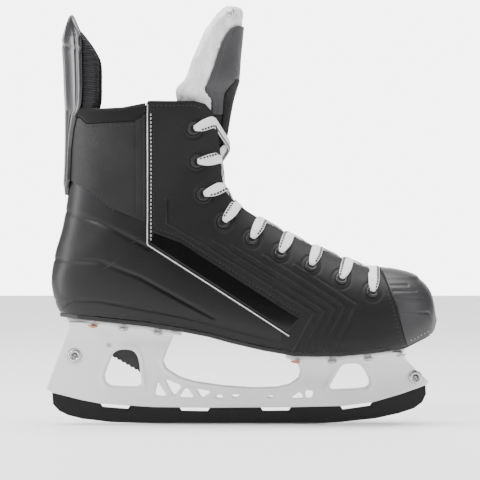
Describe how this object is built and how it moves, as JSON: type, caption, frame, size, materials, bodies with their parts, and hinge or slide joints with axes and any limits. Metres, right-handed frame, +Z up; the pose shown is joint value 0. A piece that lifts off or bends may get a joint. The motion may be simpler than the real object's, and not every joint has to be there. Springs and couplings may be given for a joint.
{
  "type": "ice hockey skate",
  "caption": "Laced ice hockey boot for a right foot with a padded tongue, a flexing tendon guard, and a plastic holder carrying a replaceable steel blade.",
  "frame": {"origin": "on the ice under the middle of the skate, at the blade's lowest line", "axes": "+X towards the toe, +Y towards the inner side of the foot, +Z up"},
  "size_m": [0.3059, 0.1022, 0.329],
  "materials": {
    "composite": "satin composite with a faint weave",
    "facing_leather": "matte",
    "gloss_panel": "gloss",
    "ankle_leather": "matte",
    "cap_plastic": "satin",
    "padding": "matte",
    "felt": "fuzzy felt",
    "tongue_leather": "satin",
    "mesh": "matte",
    "guard_plastic": "semi-gloss",
    "holder_plastic": "satin",
    "blade_steel": "black satin",
    "steel": "satin",
    "copper": "satin copper",
    "black_metal": "black satin",
    "black_plastic": "matte",
    "lace_cord": "woven"
  },
  "bodies": {
    "boot_and_blade": {"quarter_shell": "composite", "facing_lateral": "facing_leather", "side_panel_lateral": "gloss_panel", "facing_medial": "facing_leather", "side_panel_medial": "gloss_panel", "ankle_wrap": "ankle_leather", "collar_roll": "padding", "toe_cap": "cap_plastic", "liner": "padding", "outsole": "black_plastic", "insole_board": "black_plastic", "footbed": "padding", "tongue_lower": "padding", "guard_tail": "guard_plastic", "holder": "holder_plastic", "runner": "blade_steel", "trigger_pin": "steel", "rear_bolt": "black_metal", "rear_nut": "steel", "front_bolt": "black_metal", "front_nut": "steel", "rivet_lateral_1": "copper", "rivet_lateral_2": "steel", "rivet_lateral_3": "steel", "rivet_lateral_4": "copper", "rivet_lateral_5": "steel", "rivet_lateral_6": "steel", "rivet_lateral_7": "steel", "rivet_medial_1": "copper", "rivet_medial_2": "steel", "rivet_medial_3": "steel", "rivet_medial_4": "copper", "rivet_medial_5": "steel", "rivet_medial_6": "steel", "rivet_medial_7": "steel", "eyelet_lateral_1": "black_metal", "eyelet_lateral_2": "black_metal", "eyelet_lateral_3": "black_metal", "eyelet_lateral_4": "black_metal", "eyelet_lateral_5": "black_metal", "eyelet_lateral_6": "black_metal", "eyelet_lateral_7": "black_metal", "eyelet_lateral_8": "black_metal", "eyelet_lateral_9": "black_metal", "eyelet_medial_1": "black_metal", "eyelet_medial_2": "black_metal", "eyelet_medial_3": "black_metal", "eyelet_medial_4": "black_metal", "eyelet_medial_5": "black_metal", "eyelet_medial_6": "black_metal", "eyelet_medial_7": "black_metal", "eyelet_medial_8": "black_metal", "eyelet_medial_9": "black_metal", "lace": "lace_cord"},
    "tongue_upper": {"tongue_felt": "felt", "tongue_face": "tongue_leather", "tongue_vent": "mesh"},
    "guard_upper": {"guard_shell": "guard_plastic", "guard_pad": "padding"},
    "trigger_lever": {"trigger": "black_plastic"}
  },
  "joints": [
    {"name": "tongue_flex", "type": "hinge", "parent": "boot_and_blade", "child": "tongue_upper", "pos_m": [-0.0085, 0, 0.242], "axis": [0, 1, 0], "range_deg": [-3, 35], "stiffness_Nm_per_rad": 1.5},
    {"name": "guard_flex", "type": "hinge", "parent": "boot_and_blade", "child": "guard_upper", "pos_m": [-0.1385, 0, 0.2475], "axis": [0, -1, 0], "range_deg": [-3, 16], "stiffness_Nm_per_rad": 3},
    {"name": "trigger_pull", "type": "hinge", "parent": "boot_and_blade", "child": "trigger_lever", "pos_m": [-0.103, 0, 0.0625], "axis": [0, -1, 0], "range_deg": [0, 10], "stiffness_Nm_per_rad": 0.3}
  ]
}
